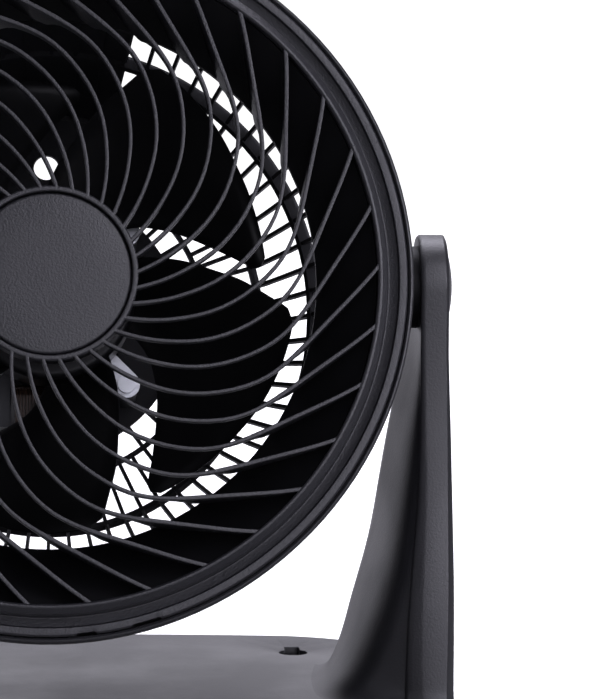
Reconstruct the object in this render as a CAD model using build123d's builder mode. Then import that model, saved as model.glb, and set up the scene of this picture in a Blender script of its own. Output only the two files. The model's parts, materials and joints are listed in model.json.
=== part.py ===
from build123d import *
import math
import os

os.makedirs("parts", exist_ok=True)

# ---------------------------------------------------------------- dimensions
# The origin is on the floor, in the middle of the base. +Z is up, the fan
# blows towards -Y, and the tilt axis is parallel to X.
tilt_deg = 13.5            # how far the head is tipped up at rest
pivot_y = -18.5            # tilt axis, in front of the middle of the base
pivot_z = 150.0            # tilt axis above the floor

base_width = 272.0         # base plate, along X
base_depth = 152.0         # base plate, along Y
base_height = 12.0         # top of the base plate
base_corner_r = 13.0       # front corners, seen from above
base_side_r = 60.0         # back corners
base_bow_r = 718.8         # bowed back edge
wall = 2.8                 # moulded wall of the stand
foot_r = 9.0
keyhole_x = 87.7           # wall-hanging keyholes
keyhole_y = 37.2
keyhole_r = 5.0
keyhole_slot_w = 5.3
keyhole_slot_l = 10.1
feet_at = [(-112, -61), (112, -61), (-64, 58), (64, 58)]

arm_outer_x = 134.8        # outside face of each arm
arm_top_r = 18.0           # round top of each arm, about the tilt axis
bolt_r = 4.0               # tilt bolt
bolt_gap = 0.06            # running clearance of the tilt bolt in the arm
boss_r = 15.3              # round boss of the head beside each arm

rim_r = 122.0              # outside of the rolled rim of the head
drum_r = 119.0             # outside of the head's drum
bezel_in_r = 109.4         # inner edge of the bezel
throat_r = 90.1            # narrowest part of the air duct
rib_count = 34
rib_t = 1.5
rear_rib_count = 68
rear_rib_t = 1.3
guard_sector = 33.9        # closed part at the top of the rear guard, in degrees
hub_r = 27.1               # hub cap

blade_count = 5
blade_tip_r = 83.5
blade_t = 1.8
prop_hub_r = 29.5
shaft_r = 3.0
shaft_gap = 0.03

knob_r = 17.0

# ---------------------------------------------------------------- head frame
# Positions in the head are (r, w): r from the fan's axis, w forward from the
# tilt axis along the fan's axis.
tau = math.radians(tilt_deg)
s_t, c_t = math.sin(tau), math.cos(tau)
pivot = Vector(0, pivot_y, pivot_z)
forward = Vector(0, -c_t, s_t)
upward = Vector(0, s_t, c_t)
fan_axis = Axis(origin=pivot, direction=forward)


def face_plane(w):
    """Plane square to the fan's axis, seen from the front: x right, y up."""
    return Plane(origin=pivot + forward * w, x_dir=(1, 0, 0), z_dir=forward)


def profile_plane(deg=0.0):
    """Half plane through the fan's axis at this angle: x is the radius, y is w."""
    out = Vector(1, 0, 0) * math.cos(math.radians(deg)) + upward * math.sin(math.radians(deg))
    return Plane(origin=pivot, x_dir=out, z_dir=out.cross(forward))


def polar(r, deg):
    a = math.radians(deg)
    return (r * math.cos(a), r * math.sin(a))


def dome(r):
    """Front of the ribs: a very shallow dome."""
    return 34.2 - 0.000292 * r * r


# ================================================================ STAND
# Outline of an arm at several heights: z, front y, back y (from the tilt
# axis), inner x at the front, inner x at the back, outer x.
arm_sections = [
    (4.0, -42.0, 29.5, 119.0, 96.4, 135.85),
    (12.0, -41.0, 28.7, 119.1, 97.5, 135.85),
    (19.0, -40.0, 28.1, 119.3, 100.3, 135.83),
    (37.5, -37.2, 26.2, 120.0, 105.6, 135.75),
    (59.0, -32.3, 24.0, 121.8, 111.1, 135.68),
    (80.0, -26.0, 21.9, 123.9, 114.6, 135.62),
    (95.0, -22.5, 20.6, 124.8, 116.9, 135.5),
    (110.0, -20.2, 19.6, 125.1, 119.8, 135.2),
    (122.0, -19.2, 18.8, 125.25, 122.7, 134.92),
    (134.0, -18.6, 18.2, 125.35, 125.3, 134.72),
    (150.0, -17.9, 17.9, 125.35, 125.35, 134.72),
]
# The foot of an arm spreads onto the base: z, spread.
foot_flare = [(10.0, 7.4), (12.6, 4.8), (15.6, 2.3), (19.5, 0.5)]


def arm_outline(sec, inset, side, spread=0.0):
    z, yf, yb, xf, xb, xo = sec
    xo -= inset
    pts = [
        (side * xo, pivot_y + yf + inset - spread),
        (side * xo, pivot_y + yb - inset + spread),
        (side * (xb + inset - spread), pivot_y + yb - inset + spread),
        (side * (xf + inset - spread), pivot_y + yf + inset - spread),
    ]
    return pts if side > 0 else pts[::-1]


def section_at(z):
    for a, b in zip(arm_sections, arm_sections[1:]):
        if z <= b[0]:
            t = (z - a[0]) / (b[0] - a[0])
            return (z,) + tuple(a[i] + (b[i] - a[i]) * t for i in range(1, 6))
    return arm_sections[-1]


def on_arc(centre, radius, deg):
    a = math.radians(deg)
    return (centre[0] + radius * math.cos(a), centre[1] + radius * math.sin(a))


def base_outline(inset):
    """The base's outline as a face: bowed at the back, straight in front."""
    half_w, half_d = base_width / 2, base_depth / 2
    front_c = (half_w - base_corner_r, -half_d + base_corner_r)
    bow_c = (0.0, half_d - base_bow_r)
    side_c_x = half_w - base_side_r
    reach = base_bow_r - base_side_r
    side_c = (side_c_x, bow_c[1] + math.sqrt(reach**2 - side_c_x**2))
    join = math.degrees(math.atan2(side_c[1] - bow_c[1], side_c_x))
    rf, rs, rb = base_corner_r - inset, base_side_r - inset, base_bow_r - inset
    right = [
        (front_c[0], -half_d + inset),
        on_arc(front_c, rf, -45),
        (half_w - inset, front_c[1]),
        (half_w - inset, side_c[1]),
        on_arc(side_c, rs, join / 2),
        on_arc(side_c, rs, join),
    ]
    left = [(-x, y) for x, y in right]
    with BuildSketch() as outline:
        with BuildLine():
            Line(left[0], right[0])
            ThreePointArc(*right[0:3])
            Line(right[2], right[3])
            ThreePointArc(*right[3:6])
            ThreePointArc(right[5], on_arc(bow_c, rb, 90), left[5])
            ThreePointArc(*left[5:2:-1])
            Line(left[3], left[2])
            ThreePointArc(*left[2::-1])
        make_face()
    return outline.sketch


with BuildPart() as stand_frame:
    # base plate: flat on top, its back edge bowed in plan
    with BuildSketch(Plane.XY.offset(1.6)):
        add(base_outline(0.0))
    extrude(amount=base_height - 1.6)
    top_edges = stand_frame.faces().sort_by(Axis.Z)[-1].edges()
    fillet(top_edges, radius=3.0)
    # arms, each lofted through rounded outlines
    for side in (1, -1):
        for sec in arm_sections:
            with BuildSketch(Plane.XY.offset(sec[0])) as outline:
                with BuildLine():
                    Polyline(*arm_outline(sec, 0.0, side), close=True)
                make_face()
                fillet(outline.vertices(), radius=2.4)
        loft()
        for z, spread in foot_flare:
            with BuildSketch(Plane.XY.offset(z)) as outline:
                with BuildLine():
                    Polyline(
                        *[
                            (min(max(x, -134.6), 134.6), y)
                            for x, y in arm_outline(section_at(z), 0.4, side, spread)
                        ],
                        close=True,
                    )
                make_face()
                fillet(outline.vertices(), radius=2.0)
        loft(ruled=True)
        # round top about the tilt axis
        with BuildSketch(
            Plane(origin=(side * 125.2, pivot_y, pivot_z), x_dir=(0, side, 0), z_dir=(side, 0, 0))
        ):
            Circle(arm_top_r)
        extrude(amount=arm_outer_x - 125.2)

with BuildPart() as stand_hollow:
    with BuildSketch(Plane.XY):
        add(base_outline(wall))
    extrude(amount=base_height - wall)

arm_hollows = []
for side in (1, -1):
    with BuildPart() as arm_hollow:
        for sec in arm_sections[:-2]:
            with BuildSketch(Plane.XY.offset(sec[0] if sec[0] > 4 else 3.0)) as outline:
                with BuildLine():
                    Polyline(*arm_outline(sec, wall, side), close=True)
                make_face()
                fillet(outline.vertices(), radius=0.8)
        loft()
    arm_hollows.append(arm_hollow.part)

keyholes_at = [(keyhole_x, keyhole_y), (-keyhole_x, keyhole_y)]
with BuildPart() as stand_done:
    add(stand_frame.part)
    add(stand_hollow.part, mode=Mode.SUBTRACT)
    for hollow in arm_hollows:
        add(hollow, mode=Mode.SUBTRACT)
    # stiffening ribs and foot bosses under the plate
    with BuildSketch(Plane.XY.offset(6.0)):
        Rectangle(base_width - 2 * wall - 76, 2.0)
        with Locations((-45, 0), (45, 0)):
            Rectangle(2.0, base_depth - 6.4)
        with Locations(*feet_at):
            Circle(7.5)
        with Locations(*keyholes_at):
            Circle(8.5)
    extrude(amount=base_height - wall - 6.0 + 0.6)
    # keyholes, cut right through the plate
    with BuildSketch(Plane.XY):
        with Locations(*keyholes_at):
            Circle(keyhole_r)
        for kx, ky in keyholes_at:
            with Locations((kx, ky + keyhole_slot_l / 2)):
                Rectangle(keyhole_slot_w, keyhole_slot_l)
    extrude(amount=40, mode=Mode.SUBTRACT)
    # bolt holes and cap recesses in the arms
    for side in (1, -1):
        with BuildSketch(
            Plane(origin=(side * 120, pivot_y, pivot_z), x_dir=(0, side, 0), z_dir=(side, 0, 0))
        ):
            Circle(bolt_r + bolt_gap)
        extrude(amount=20, mode=Mode.SUBTRACT)
        with BuildSketch(
            Plane(origin=(side * 128.6, pivot_y, pivot_z), x_dir=(0, side, 0), z_dir=(side, 0, 0))
        ):
            Circle(11.0)
        extrude(amount=20, mode=Mode.SUBTRACT)
stand_done.part.label = "stand_frame"
export_step(stand_done.part, "parts/stand_frame.step")

with BuildPart() as rubber_feet:
    with BuildSketch(Plane.XY):
        with Locations(*feet_at):
            Circle(foot_r)
    extrude(amount=4.5)
    fillet(rubber_feet.edges().group_by(Axis.Z)[0], radius=1.0)
    with BuildSketch(Plane.XY.offset(4.5)):
        with Locations(*feet_at):
            Circle(6.5)
    extrude(amount=1.5)
rubber_feet.part.label = "rubber_feet"
export_step(rubber_feet.part, "parts/rubber_feet.step")

cap_seat_x = arm_outer_x + 0.06
dome_h = 137.2 - cap_seat_x
dome_r = (14.4**2 + dome_h**2) / (2 * dome_h)
dome_a = math.asin(14.4 / dome_r)
for name, side in (("pivot_cap_right", 1), ("pivot_cap_left", -1)):
    with BuildPart() as pivot_cap:
        with BuildSketch(Plane(origin=pivot, x_dir=(side, 0, 0), z_dir=(0, -1 * side, 0))):
            with BuildLine():
                Polyline(
                    (137.2, 0), (cap_seat_x, 0), (cap_seat_x, 9.1), (129.6, 9.1),
                    (129.6, 10.9), (cap_seat_x, 10.9), (cap_seat_x, 14.4),
                )
                ThreePointArc(
                    (cap_seat_x, 14.4),
                    (137.2 - dome_r * (1 - math.cos(dome_a / 2)), dome_r * math.sin(dome_a / 2)),
                    (137.2, 0),
                )
            make_face()
        revolve(axis=Axis(origin=pivot, direction=(1, 0, 0)))
    pivot_cap.part.label = name
    export_step(pivot_cap.part, f"parts/{name}.step")

with BuildPart() as pivot_bolts:
    for side in (1, -1):
        with BuildSketch(Plane(origin=pivot, x_dir=(side, 0, 0), z_dir=(0, -1 * side, 0))):
            with BuildLine():
                Polyline(
                    (112.0, 0), (112.0, 3.2), (112.8, bolt_r), (129.2, bolt_r),
                    (129.2, 7.5), (131.4, 7.5), (132.4, 6.5), (132.4, 0), close=True,
                )
            make_face()
        revolve(axis=Axis(origin=pivot, direction=(1, 0, 0)))
        with BuildSketch(
            Plane(origin=(side * 132.4, pivot_y, pivot_z), x_dir=(0, side, 0), z_dir=(-side, 0, 0))
        ):
            RegularPolygon(radius=3.0, side_count=6)
        extrude(amount=1.6, mode=Mode.SUBTRACT)
pivot_bolts.part.label = "pivot_bolts"
export_step(pivot_bolts.part, "parts/pivot_bolts.step")

with BuildPart() as pivot_washers:
    for side in (1, -1):
        with BuildSketch(
            Plane(origin=(side * 122.4, pivot_y, pivot_z), x_dir=(0, side, 0), z_dir=(side, 0, 0))
        ):
            Circle(14.0)
            Circle(bolt_r + 0.4, mode=Mode.SUBTRACT)
        extrude(amount=2.8)
pivot_washers.part.label = "pivot_washers"
export_step(pivot_washers.part, "parts/pivot_washers.step")

with BuildPart() as bolt_washers:
    for side in (1, -1):
        with BuildSketch(
            Plane(origin=(side * 128.6, pivot_y, pivot_z), x_dir=(0, side, 0), z_dir=(side, 0, 0))
        ):
            Circle(8.4)
            Circle(bolt_r + 0.25, mode=Mode.SUBTRACT)
        extrude(amount=0.55)
bolt_washers.part.label = "bolt_washers"
export_step(bolt_washers.part, "parts/bolt_washers.step")

# ================================================================ HEAD
# rear housing: the drum with its rolled rim and two pivot bosses
with BuildPart() as rear_housing:
    with BuildSketch(profile_plane()):
        with BuildLine():
            Polyline(
                (102.0, -36.0), (102.0, -33.6), (108.4, -33.6),
            )
            ThreePointArc((108.4, -33.6), (114.2, -21.5), (116.7, -8.0))
            Polyline(
                (116.7, -8.0), (116.7, 16.4), (114.4, 18.4), (114.4, 19.9), (117.3, 19.9),
                (117.3, 18.0), (120.3, 18.0), (120.3, 24.2), (121.0, 25.0),
            )
            ThreePointArc((121.0, 25.0), (121.75, 24.5), (122.0, 23.4))
            Polyline((122.0, 23.4), (122.0, 14.0), (119.0, 10.0), (119.0, -8.0))
            ThreePointArc((119.0, -8.0), (116.5, -22.0), (111.0, -36.0))
            Line((111.0, -36.0), (102.0, -36.0))
        make_face()
    revolve(axis=fan_axis)
    for side in (1, -1):
        with BuildSketch(
            Plane(origin=(side * 114.0, pivot_y, pivot_z), x_dir=(0, side, 0), z_dir=(side, 0, 0))
        ):
            Circle(boss_r)
        extrude(amount=122.3 - 114.0)
    # inside of the bosses, kept clear of the drum's own wall
    for side in (1, -1):
        with BuildSketch(
            Plane(origin=(side * 110.5, pivot_y, pivot_z), x_dir=(0, side, 0), z_dir=(side, 0, 0))
        ):
            Circle(9.0)
        extrude(amount=8.0)
        with BuildSketch(
            Plane(origin=(side * 105.0, pivot_y, pivot_z), x_dir=(0, side, 0), z_dir=(side, 0, 0))
        ):
            Circle(6.0)
        extrude(amount=14.0, mode=Mode.SUBTRACT)
        with BuildSketch(
            Plane(origin=(side * 105.0, pivot_y, pivot_z), x_dir=(0, side, 0), z_dir=(side, 0, 0))
        ):
            Circle(bolt_r + 0.1)
        extrude(amount=25.0, mode=Mode.SUBTRACT)
    # screw holes of the rear grille
    with BuildSketch(face_plane(-30.0)):
        with PolarLocations(105.6, 4, start_angle=4.9 + 5.294 * 0.5 + 42.35):
            Circle(1.3)
    extrude(amount=-8.0, mode=Mode.SUBTRACT)
rear_housing.part.label = "rear_housing"
export_step(rear_housing.part, "parts/rear_housing.step")

# threaded brass inserts that hold the tilt bolts
with BuildPart() as pivot_inserts:
    for side in (1, -1):
        with BuildSketch(
            Plane(origin=(side * 111.5, pivot_y, pivot_z), x_dir=(0, side, 0), z_dir=(side, 0, 0))
        ):
            Circle(6.0)
            Circle(bolt_r, mode=Mode.SUBTRACT)
        extrude(amount=7.5)
pivot_inserts.part.label = "pivot_inserts"
export_step(pivot_inserts.part, "parts/pivot_inserts.step")

# duct ring: the cone between the bezel and the throat
with BuildPart() as duct_ring:
    with BuildSketch(profile_plane()):
        with BuildLine():
            Polyline(
                (109.2, 25.7), (throat_r, 11.5), (throat_r, 8.5), (throat_r + 1.8, 8.5),
                (throat_r + 1.8, 10.7), (105.2, 19.9), (117.0, 19.9), (117.0, 21.7),
                (111.4, 21.9), close=True,
            )
        make_face()
    revolve(axis=fan_axis)
duct_ring.part.label = "duct_ring"
export_step(duct_ring.part, "parts/duct_ring.step")

# front grille: centre line of a rib, radius and sweep angle from its outer end
rib_path = [
    (110.3, 0.4), (96.8, -8.3), (91.7, -12.4), (86.0, -18.3), (80.0, -25.1),
    (72.8, -32.0), (63.4, -39.8), (54.4, -46.0), (46.6, -50.6), (38.9, -54.9),
    (28.4, -62.8),
]
rib_phase = 1.9
centre = [polar(r, a + rib_phase) for r, a in rib_path]


def side_points(points, off):
    out = []
    n = len(points)
    for i in range(n):
        a = points[max(i - 1, 0)]
        b = points[min(i + 1, n - 1)]
        tx, ty = b[0] - a[0], b[1] - a[1]
        m = math.hypot(tx, ty)
        out.append((points[i][0] - ty / m * off, points[i][1] + tx / m * off))
    return out


left = side_points(centre, rib_t / 2)
right = side_points(centre, -rib_t / 2)

with BuildPart() as front_rib:
    with BuildSketch(face_plane(8.0)):
        with BuildLine():
            a = Spline(*left)
            b = Spline(*right)
            Line(a @ 0, b @ 0)
            Line(a @ 1, b @ 1)
        make_face()
    extrude(amount=30.0)
    with BuildSketch(profile_plane()):
        with BuildLine():
            Spline(*[(r, dome(r)) for r in (28.0, 50.0, 70.0, 90.0, 110.6)])
            Polyline(
                (110.6, dome(110.6)), (110.6, 24.6), (110.0, 26.6), (109.4, 26.2),
                (91.2, 12.65),
            )
            Spline((91.2, 12.65), (88.6, 14.0), (87.4, 19.0), (85.6, 25.2), (81.0, 27.9))
            Spline((81.0, 27.9), (60.0, 28.8), (28.0, 29.6))
            Line((28.0, 29.6), (28.0, dome(28.0)))
        make_face()
    revolve(axis=fan_axis, mode=Mode.INTERSECT)

with BuildPart() as front_grille:
    with BuildSketch(profile_plane()):
        with BuildLine():
            Polyline(
                (bezel_in_r, 30.5), (110.0, 31.2), (110.7, 31.0), (112.8, 28.8),
                (113.2, 24.8), (116.8, 24.4), (117.1, 25.9), (119.3, 25.7),
                (119.9, 25.0), (119.9, 18.1), (117.5, 18.1), (117.5, 22.1),
                (111.7, 22.3), (bezel_in_r, 26.0), close=True,
            )
        make_face()
        with BuildLine():
            Polyline(
                (0, 24.0), (29.0, 24.0), (29.4, 24.6), (29.4, 33.4), (28.9, 34.0),
                (27.8, 34.0), (27.5, 33.7), (27.5, 26.4), (0, 26.4), close=True,
            )
        make_face()
    revolve(axis=fan_axis)
    add([front_rib.part.rotate(fan_axis, 360.0 / rib_count * k) for k in range(rib_count)])
    # sockets for the four prongs of the hub cap
    with BuildSketch(face_plane(20.0)):
        with PolarLocations(17.0, 4, start_angle=45):
            Circle(2.6)
    extrude(amount=10.0, mode=Mode.SUBTRACT)
front_grille.part.label = "front_grille"
export_step(front_grille.part, "parts/front_grille.step")

with BuildPart() as hub_cap:
    with BuildSketch(profile_plane()):
        with BuildLine():
            l = Polyline(
                (0, 30.0), (25.3, 30.0), (25.3, 26.6), (hub_r, 26.6), (hub_r, 31.6),
            )
            ThreePointArc((hub_r, 31.6), (26.6, 32.4), (25.6, 32.7))
            Spline((25.6, 32.7), (14.0, 33.1), (0, 33.2))
            Line((0, 33.2), (0, 30.0))
        make_face()
    revolve(axis=fan_axis)
    with BuildSketch(face_plane(30.5)):
        with PolarLocations(17.0, 4, start_angle=45):
            Circle(2.4)
    extrude(amount=-8.5)
hub_cap.part.label = "hub_cap"
export_step(hub_cap.part, "parts/hub_cap.step")

# rear grille: conical guard, three rings, centre plate with motor posts
rear_phase = 4.9
post_xy = 27.2
rear_ribs = []
for inner in (57.0, 47.5):
    with BuildPart() as rear_rib:
        with BuildSketch(profile_plane().offset(-rear_rib_t / 2)):
            with BuildLine():
                Polyline((inner, -94.3), (inner, -97.5), (76.5, -97.5))
                ThreePointArc((76.5, -97.5), (80.0, -95.6), (82.4, -92.0))
                ThreePointArc((82.4, -92.0), (97.3, -67.0), (110.4, -37.5))
                Line((110.4, -37.5), (106.6, -37.5))
                ThreePointArc((106.6, -37.5), (94.0, -65.5), (79.6, -90.2))
                Line((79.6, -90.2), (76.0, -94.3))
                Line((76.0, -94.3), (inner, -94.3))
            make_face()
        extrude(amount=rear_rib_t)
    rear_ribs.append(rear_rib.part)

with BuildPart() as rear_grille:
    # the profile lies halfway between two ribs
    with BuildSketch(profile_plane(rear_phase + 180.0 / rear_rib_count)):
        # mounting ring, ring A, ring B, ring C
        with BuildLine():
            Polyline(
                (102.2, -36.1), (111.0, -36.1), (109.7, -39.2), (102.2, -39.2), close=True
            )
        make_face()
        with BuildLine():
            Polyline(
                (96.9, -65.8), (97.8, -66.2), (95.9, -69.9), (93.6, -68.6), (92.4, -67.4),
                (93.5, -65.6), close=True,
            )
        make_face()
        with BuildLine():
            Polyline(
                (75.4, -94.0), (75.4, -97.5), (76.5, -97.5), (78.0, -97.0), (78.6, -96.4),
                (77.0, -94.0), close=True,
            )
        make_face()
        with BuildLine():
            Polyline((56.2, -94.3), (56.2, -97.5), (58.0, -97.5), (58.0, -94.3), close=True)
        make_face()
        # centre plate with the rearward cup behind the motor
        with BuildLine():
            Polyline(
                (27.6, -94.2), (48.1, -94.2), (48.1, -97.5), (30.0, -97.5), (30.0, -106.0),
                (27.6, -106.0), close=True,
            )
        make_face()
    revolve(axis=fan_axis)
    add([
        rear_ribs[k % 2].rotate(fan_axis, rear_phase + 360.0 / rear_rib_count * k)
        for k in range(rear_rib_count)
    ])
    # solid pad with a round hole at the top
    with BuildSketch(face_plane(-97.5)):
        with Locations((0, 60.5)):
            RectangleRounded(40.0, 30.0, 4.0)
    extrude(amount=3.2)
    # closed sector of the guard above the pad
    with BuildSketch(profile_plane(90 - guard_sector / 2)):
        with BuildLine():
            Polyline((74.0, -95.1), (74.0, -97.2), (76.4, -97.2))
            ThreePointArc((76.4, -97.2), (79.7, -95.4), (82.1, -91.9))
            ThreePointArc((82.1, -91.9), (97.0, -66.9), (110.1, -37.3))
            Line((110.1, -37.3), (107.9, -37.3))
            ThreePointArc((107.9, -37.3), (95.1, -66.1), (80.4, -90.9))
            Polyline((80.4, -90.9), (76.6, -95.1), (74.0, -95.1))
        make_face()
    revolve(axis=fan_axis, revolution_arc=guard_sector)
    with BuildSketch(face_plane(-100.0)):
        with Locations((-1.3, 57.6)):
            Circle(4.6)
    extrude(amount=10.0, mode=Mode.SUBTRACT)
    # four posts that carry the motor
    with BuildSketch(face_plane(-97.0)):
        with Locations(
            (post_xy, post_xy), (-post_xy, post_xy), (-post_xy, -post_xy), (post_xy, -post_xy)
        ):
            Circle(4.2)
    extrude(amount=97.0 - 57.2)
    with BuildSketch(face_plane(-76.0)):
        with Locations(
            (post_xy, post_xy), (-post_xy, post_xy), (-post_xy, -post_xy), (post_xy, -post_xy)
        ):
            Circle(1.5)
    extrude(amount=20.0, mode=Mode.SUBTRACT)
    # screw holes: guard to housing, and cup cover
    with BuildSketch(face_plane(-45.0)):
        with PolarLocations(105.6, 4, start_angle=4.9 + 5.294 * 0.5 + 42.35):
            Circle(1.5)
    extrude(amount=12.0, mode=Mode.SUBTRACT)
rear_grille.part.label = "rear_grille"
export_step(rear_grille.part, "parts/rear_grille.step")

with BuildPart() as grille_screws:
    with BuildSketch(face_plane(-41.5)):
        with PolarLocations(105.6, 4, start_angle=4.9 + 5.294 * 0.5 + 42.35):
            Circle(2.4)
    extrude(amount=2.3)
    with BuildSketch(face_plane(-39.3)):
        with PolarLocations(105.6, 4, start_angle=4.9 + 5.294 * 0.5 + 42.35):
            Circle(1.25)
    extrude(amount=6.0)
grille_screws.part.label = "grille_screws"
export_step(grille_screws.part, "parts/grille_screws.step")

# cup cover: closes the cup behind the motor and carries the switch
with BuildPart() as switch_cover:
    with BuildSketch(profile_plane()):
        with BuildLine():
            Polyline(
                (5.2, -106.1), (30.0, -106.1), (30.0, -107.4), (28.8, -108.6), (5.2, -108.6),
                close=True,
            )
        make_face()
        with BuildLine():
            Polyline(
                (25.6, -104.0), (27.4, -104.0), (27.4, -106.2), (25.6, -106.2), close=True
            )
        make_face()
    revolve(axis=fan_axis)
    with BuildSketch(face_plane(-112.0)):
        with PolarLocations(23.4, 2, start_angle=225, angular_range=180):
            Circle(1.5)
    extrude(amount=12.0, mode=Mode.SUBTRACT)
switch_cover.part.label = "switch_cover"
export_step(switch_cover.part, "parts/switch_cover.step")

with BuildPart() as cover_screws:
    with BuildSketch(face_plane(-110.4)):
        with PolarLocations(23.4, 2, start_angle=225, angular_range=180):
            Circle(2.5)
    extrude(amount=1.8)
    with BuildSketch(face_plane(-108.7)):
        with PolarLocations(23.4, 2, start_angle=225, angular_range=180):
            Circle(1.4)
    extrude(amount=7.0)
cover_screws.part.label = "cover_screws"
export_step(cover_screws.part, "parts/cover_screws.step")

# rotary switch behind the motor, its spindle and the knob
with BuildPart() as rotary_switch:
    with BuildSketch(face_plane(-106.0)):
        RectangleRounded(24.0, 22.0, 2.0)
    extrude(amount=11.0)
    with BuildSketch(face_plane(-108.2)):
        Circle(5.0)
    extrude(amount=2.4)
    with BuildSketch(face_plane(-109.0)):
        Circle(3.05)
    extrude(amount=12.0, mode=Mode.SUBTRACT)
    with BuildSketch(face_plane(-95.0)):
        with Locations((-7, 6), (0, 6), (7, 6), (-7, -6)):
            Rectangle(3.0, 0.8)
    extrude(amount=4.0)
rotary_switch.part.label = "rotary_switch"
export_step(rotary_switch.part, "parts/rotary_switch.step")

with BuildPart() as switch_spindle:
    with BuildSketch(face_plane(-118.0)):
        Circle(3.0)
    extrude(amount=20.0)
    with BuildSketch(face_plane(-118.0)):
        with Locations((0, 3.2)):
            Rectangle(8.0, 2.0)
    extrude(amount=9.3, mode=Mode.SUBTRACT)
switch_spindle.part.label = "switch_spindle"
export_step(switch_spindle.part, "parts/switch_spindle.step")

with BuildPart() as speed_knob:
    with BuildSketch(profile_plane()):
        with BuildLine():
            Polyline(
                (0, -120.6), (14.2, -120.6), (15.8, -119.4), (knob_r, -109.0),
                (14.9, -109.0), (14.0, -112.4), (0, -112.4), close=True,
            )
        make_face()
    revolve(axis=fan_axis)
    with BuildSketch(face_plane(-121.4)):
        RectangleRounded(28.4, 6.4, 3.0)
    extrude(amount=3.0)
    with BuildSketch(face_plane(-112.6)):
        Circle(6.0)
    extrude(amount=3.4)
    with BuildSketch(face_plane(-118.0)):
        Circle(3.0)
        with Locations((0, 3.2)):
            Rectangle(8.0, 2.0, mode=Mode.SUBTRACT)
    extrude(amount=20.0, mode=Mode.SUBTRACT)
speed_knob.part.label = "speed_knob"
export_step(speed_knob.part, "parts/speed_knob.step")

# cord bushing in the wall of the cup, pointing down
with BuildPart() as cord_bushing:
    cord_plane = Plane(
        origin=pivot + forward * (-101.0) - upward * 26.0, x_dir=(1, 0, 0), z_dir=-upward
    )
    with BuildSketch(cord_plane):
        Circle(2.95)
    extrude(amount=8.0)
    with BuildSketch(cord_plane.offset(4.3)):
        Circle(3.4)
    extrude(amount=2.2)
    with BuildSketch(cord_plane):
        Circle(2.1)
    extrude(amount=10.0, mode=Mode.SUBTRACT)

with BuildPart() as rear_grille_cut:
    add(rear_grille.part)
    with BuildSketch(cord_plane.offset(-4)):
        Circle(2.95)
    extrude(amount=16.0, mode=Mode.SUBTRACT)
rear_grille_cut.part.label = "rear_grille"
export_step(rear_grille_cut.part, "parts/rear_grille.step")
cord_bushing.part.label = "cord_bushing"
export_step(cord_bushing.part, "parts/cord_bushing.step")

# ================================================================ MOTOR
core_front, core_back = -58.0, -78.0
with BuildPart() as motor_core:
    with BuildSketch(face_plane(core_back)):
        with Locations((0, -10.0)):
            RectangleRounded(44.0, 64.0, 2.0)
        Circle(15.8, mode=Mode.SUBTRACT)
        with Locations((0, -26.5)):
            Rectangle(28.0, 15.0, mode=Mode.SUBTRACT)
    extrude(amount=core_front - core_back)
motor_core.part.label = "motor_core"
export_step(motor_core.part, "parts/motor_core.step")

# coil on its bobbin round the bottom leg of the core (leg: y -42 to -34)
coil_local = Plane(origin=pivot + upward * (-38.0), x_dir=forward, z_dir=(1, 0, 0))
# local x is forward (w), local y is downward or upward along the head
with BuildPart() as coil_bobbin:
    with BuildSketch(coil_local.offset(-13.6)):
        with Locations((-68.0, 0)):
            Rectangle(23.2, 11.2)
            Rectangle(20.3, 8.3, mode=Mode.SUBTRACT)
    extrude(amount=27.2)
    with BuildSketch(coil_local.offset(-13.6)):
        with Locations((-68.0, 0)):
            Rectangle(34.0, 22.0)
            Rectangle(20.3, 8.3, mode=Mode.SUBTRACT)
    extrude(amount=1.2)
    with BuildSketch(coil_local.offset(12.4)):
        with Locations((-68.0, 0)):
            Rectangle(34.0, 22.0)
            Rectangle(20.3, 8.3, mode=Mode.SUBTRACT)
    extrude(amount=1.2)
coil_bobbin.part.label = "coil_bobbin"
export_step(coil_bobbin.part, "parts/coil_bobbin.step")

with BuildPart() as motor_coil:
    with BuildSketch(coil_local.offset(-12.3)):
        with Locations((-68.0, 0)):
            RectangleRounded(33.0, 21.0, 4.0)
            Rectangle(23.3, 11.3, mode=Mode.SUBTRACT)
    extrude(amount=24.6)
motor_coil.part.label = "motor_coil"
export_step(motor_coil.part, "parts/motor_coil.step")

ears = [(post_xy, post_xy), (-post_xy, post_xy), (-post_xy, -post_xy), (post_xy, -post_xy)]
with BuildPart() as bracket_front:
    with BuildSketch(face_plane(-57.1)):
        for ex, ey in ears:
            SlotOverall(
                2 * math.hypot(ex, ey) + 9.4, 9.4,
                rotation=math.degrees(math.atan2(ey, ex)),
            )
        SlotOverall(44.0, 8.0)
        Circle(13.5)
        Circle(7.0, mode=Mode.SUBTRACT)
    extrude(amount=2.2)
    with BuildSketch(face_plane(-57.1)):
        Circle(9.4)
        Circle(7.0, mode=Mode.SUBTRACT)
    extrude(amount=10.0)
    with BuildSketch(face_plane(-47.1)):
        Circle(9.4)
        Circle(4.2, mode=Mode.SUBTRACT)
    extrude(amount=1.2)
    with BuildSketch(face_plane(-60.0)):
        with Locations(*ears):
            Circle(1.8)
    extrude(amount=8.0, mode=Mode.SUBTRACT)
    with BuildSketch(face_plane(-60.0)):
        with Locations((-18.6, 0), (18.6, 0)):
            Circle(1.6)
    extrude(amount=8.0, mode=Mode.SUBTRACT)
    # side lugs down to the core
    with BuildSketch(face_plane(core_front)):
        with Locations((-18.6, 0), (18.6, 0)):
            Circle(3.4)
            Circle(1.6, mode=Mode.SUBTRACT)
    extrude(amount=3.1)
bracket_front.part.label = "bracket_front"
export_step(bracket_front.part, "parts/bracket_front.step")

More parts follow.
